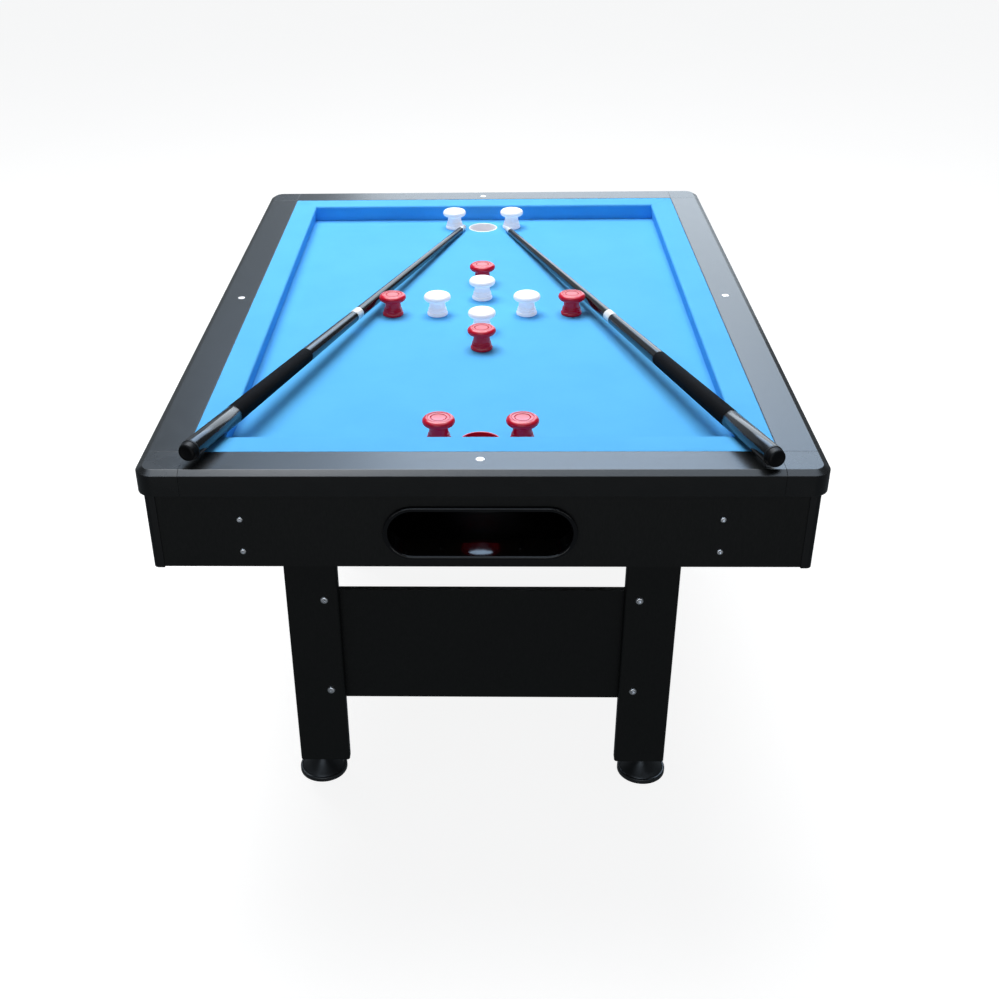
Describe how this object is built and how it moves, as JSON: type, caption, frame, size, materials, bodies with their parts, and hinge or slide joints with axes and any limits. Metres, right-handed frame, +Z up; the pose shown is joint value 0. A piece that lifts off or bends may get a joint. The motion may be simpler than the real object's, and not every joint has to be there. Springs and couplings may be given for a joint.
{
  "type": "bumper pool table",
  "caption": "Rectangular bumper pool table with blue cloth, black rails, red and white bumper posts, a holed end each way with ball return, screw feet, and cues laid on top.",
  "frame": {"origin": "on the floor under the centre of the table", "axes": "+Z up, +Y along the table's length from the near end to the far end, +X to the right"},
  "size_m": [0.978, 1.3867, 0.8341],
  "materials": {
    "black_laminate": "satin PVC laminate on board",
    "black_plastic": "moulded, fine grain",
    "ball_box_plastic": "moulded, glossy",
    "bare_board": "raw medium-density fibreboard",
    "blue_cloth": "fine worsted weave",
    "gum_rubber": "moulded",
    "zinc_steel": "zinc plated",
    "red_plastic": "glossy",
    "white_plastic": "glossy",
    "cue_lacquer": "gloss lacquer",
    "cue_wrap": "black wrap",
    "cue_white": "polished",
    "black_rubber": "moulded"
  },
  "bodies": {
    "table": {"bed_board": "bare_board", "bed_cloth": "blue_cloth", "rail_front": "black_laminate", "rail_back": "black_laminate", "rail_left": "black_laminate", "rail_right": "black_laminate", "corner_cap_front_left": "black_plastic", "corner_cap_front_right": "black_plastic", "corner_cap_back_left": "black_plastic", "corner_cap_back_right": "black_plastic", "cushion_rubbers": "gum_rubber", "cushion_cloth_front": "blue_cloth", "cushion_cloth_back": "blue_cloth", "cushion_cloth_left": "blue_cloth", "cushion_cloth_right": "blue_cloth", "rail_sights": "white_plastic", "apron_front": "black_laminate", "apron_back": "black_laminate", "apron_left": "black_laminate", "apron_right": "black_laminate", "corner_posts": "black_plastic", "side_beams": "bare_board", "cross_members": "bare_board", "leg_front_left": "black_laminate", "leg_front_right": "black_laminate", "leg_back_left": "black_laminate", "leg_back_right": "black_laminate", "end_panel_front": "black_laminate", "end_panel_back": "black_laminate", "tee_nuts": "zinc_steel", "apron_screws": "zinc_steel", "panel_bolts": "zinc_steel", "leg_bolts": "zinc_steel", "ball_box_front": "ball_box_plastic", "ball_box_back": "ball_box_plastic", "hole_sleeve_red": "red_plastic", "hole_sleeve_white": "white_plastic", "red_bumpers": "red_plastic", "white_bumpers": "white_plastic", "bumper_screws": "zinc_steel"},
    "foot_front_left": {"foot_pad_front_left": "black_plastic"},
    "stud_front_left": {"foot_stud_front_left": "zinc_steel"},
    "foot_front_right": {"foot_pad_front_right": "black_plastic"},
    "stud_front_right": {"foot_stud_front_right": "zinc_steel"},
    "foot_back_left": {"foot_pad_back_left": "black_plastic"},
    "stud_back_left": {"foot_stud_back_left": "zinc_steel"},
    "foot_back_right": {"foot_pad_back_right": "black_plastic"},
    "stud_back_right": {"foot_stud_back_right": "zinc_steel"},
    "left_cue_rear": {"cue_left_butt": "cue_lacquer", "cue_left_grip": "cue_wrap", "cue_left_collar": "cue_white", "cue_left_cap": "black_rubber"},
    "left_cue_front": {"cue_left_shaft": "cue_lacquer", "cue_left_ferrule": "cue_white"},
    "right_cue_rear": {"cue_right_butt": "cue_lacquer", "cue_right_grip": "cue_wrap", "cue_right_collar": "cue_white", "cue_right_cap": "black_rubber"},
    "right_cue_front": {"cue_right_shaft": "cue_lacquer", "cue_right_ferrule": "cue_white"}
  },
  "joints": [
    {"name": "foot_front_left_height", "type": "slide", "parent": "table", "child": "foot_front_left", "axis": [0, 0, -1], "range_m": [0, 0.02]},
    {"name": "stud_front_left_turn", "type": "hinge", "parent": "foot_front_left", "child": "stud_front_left", "pos_m": [-0.302, -0.39, 0.06], "axis": [0, 0, -1], "range_deg": [0, 4801]},
    {"name": "foot_front_right_height", "type": "slide", "parent": "table", "child": "foot_front_right", "axis": [0, 0, -1], "range_m": [0, 0.02]},
    {"name": "stud_front_right_turn", "type": "hinge", "parent": "foot_front_right", "child": "stud_front_right", "pos_m": [0.302, -0.39, 0.06], "axis": [0, 0, -1], "range_deg": [0, 4801]},
    {"name": "foot_back_left_height", "type": "slide", "parent": "table", "child": "foot_back_left", "axis": [0, 0, -1], "range_m": [0, 0.02]},
    {"name": "stud_back_left_turn", "type": "hinge", "parent": "foot_back_left", "child": "stud_back_left", "pos_m": [-0.302, 0.39, 0.06], "axis": [0, 0, -1], "range_deg": [0, 4801]},
    {"name": "foot_back_right_height", "type": "slide", "parent": "table", "child": "foot_back_right", "axis": [0, 0, -1], "range_m": [0, 0.02]},
    {"name": "stud_back_right_turn", "type": "hinge", "parent": "foot_back_right", "child": "stud_back_right", "pos_m": [0.302, 0.39, 0.06], "axis": [0, 0, -1], "range_deg": [0, 4801]},
    {"name": "left_cue_lift", "type": "slide", "parent": "table", "child": "left_cue_rear", "axis": [-0.1112, -0.3543, 0.9285], "range_m": [0, 0.25]},
    {"name": "left_cue_unscrew", "type": "hinge", "parent": "left_cue_rear", "child": "left_cue_front", "pos_m": [-0.22335, -0.06737, 0.79561], "axis": [0.2993, 0.9534, -0.0381], "range_deg": [0, 2160]},
    {"name": "right_cue_lift", "type": "slide", "parent": "table", "child": "right_cue_rear", "axis": [0.1065, -0.3558, 0.9285], "range_m": [0, 0.25]},
    {"name": "right_cue_unscrew", "type": "hinge", "parent": "right_cue_rear", "child": "right_cue_front", "pos_m": [0.22678, -0.08413, 0.79541], "axis": [-0.2866, 0.9573, -0.0377], "range_deg": [0, 2160]}
  ],
  "couplings": [
    {"joint": "stud_front_left_turn", "follows": "foot_front_left_height", "rad_per_m": 4188.8},
    {"joint": "stud_front_right_turn", "follows": "foot_front_right_height", "rad_per_m": 4188.8},
    {"joint": "stud_back_left_turn", "follows": "foot_back_left_height", "rad_per_m": 4188.8},
    {"joint": "stud_back_right_turn", "follows": "foot_back_right_height", "rad_per_m": 4188.8}
  ]
}
